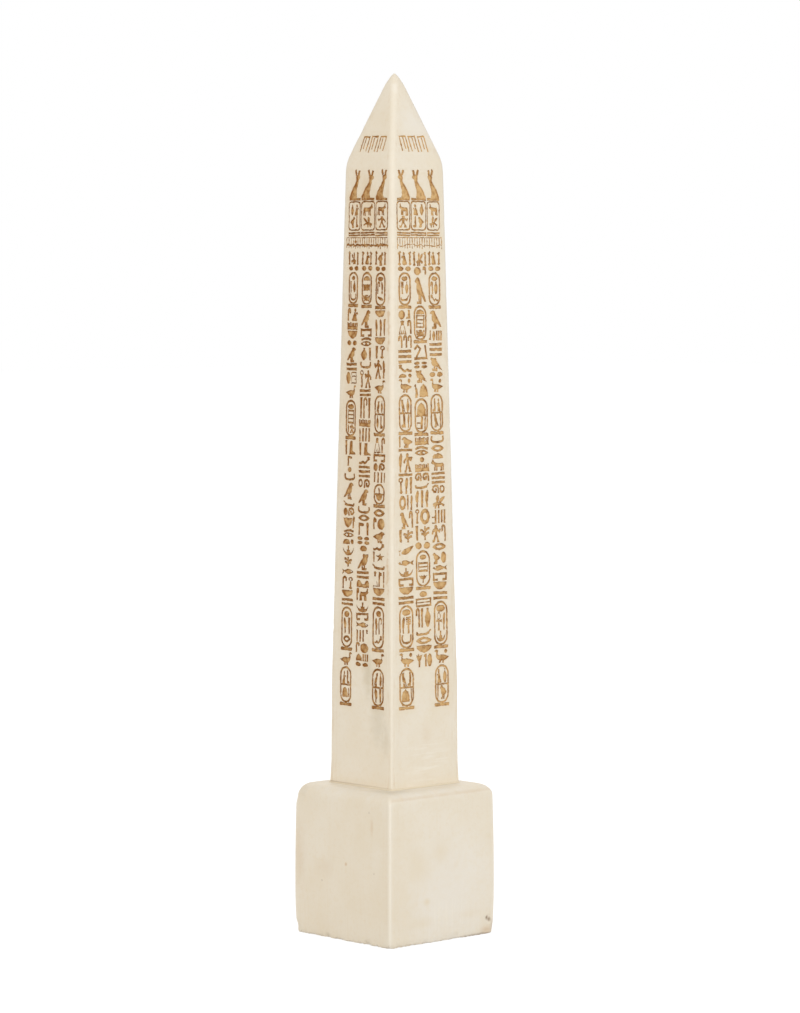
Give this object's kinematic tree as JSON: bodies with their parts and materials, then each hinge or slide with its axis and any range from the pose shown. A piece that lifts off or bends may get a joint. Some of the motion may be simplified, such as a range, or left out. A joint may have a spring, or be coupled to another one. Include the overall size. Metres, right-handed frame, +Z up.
{
  "type": "model obelisk",
  "caption": "Small cast plaster desk model of an obelisk: a tapered square shaft with a pyramid tip and incised painted sign columns, set on a plain block pedestal.",
  "frame": {"origin": "middle of the pedestal's underside, on the table", "axes": "+Z up along the shaft, X and Y square to the pedestal's sides, -Y the face on the right in the picture and -X the face on the left"},
  "size_m": [0.051, 0.051, 0.3075],
  "materials": {
    "pedestal_plaster": "matte",
    "bed_plaster": "matte",
    "shaft_plaster": "matte"
  },
  "bodies": {
    "root": {"pedestal": "pedestal_plaster", "setting_bed": "bed_plaster", "shaft": "shaft_plaster"}
  },
  "joints": []
}
